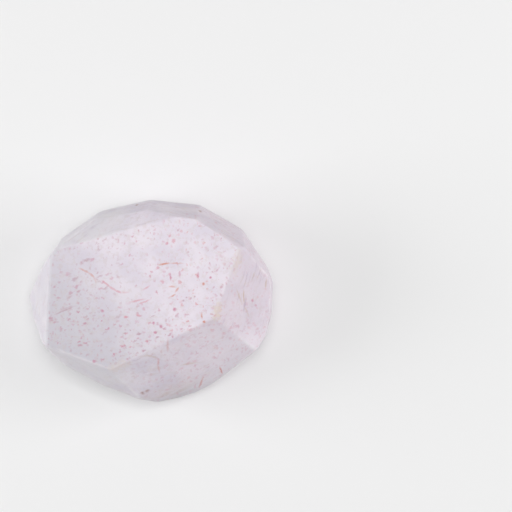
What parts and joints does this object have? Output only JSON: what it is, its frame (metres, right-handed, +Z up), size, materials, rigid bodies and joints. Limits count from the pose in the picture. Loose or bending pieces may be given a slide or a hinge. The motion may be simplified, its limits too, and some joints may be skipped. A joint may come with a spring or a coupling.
{
  "type": "taro root half",
  "caption": "Half of a peeled purple taro root: a flecked trimmed face on top, knife facets round it, and a flat cut face that it rests on.",
  "frame": {"origin": "on the cut face that the half rests on, under the middle of its outline", "axes": "+X along the widest way across, +Z up, away from the cut face, +Y away from the long lower facet that the picture shows at the bottom"},
  "size_m": [0.0991, 0.0824, 0.047],
  "materials": {
    "taro_flesh": "moist matte"
  },
  "bodies": {
    "root": {"taro_half": "taro_flesh"}
  },
  "joints": []
}
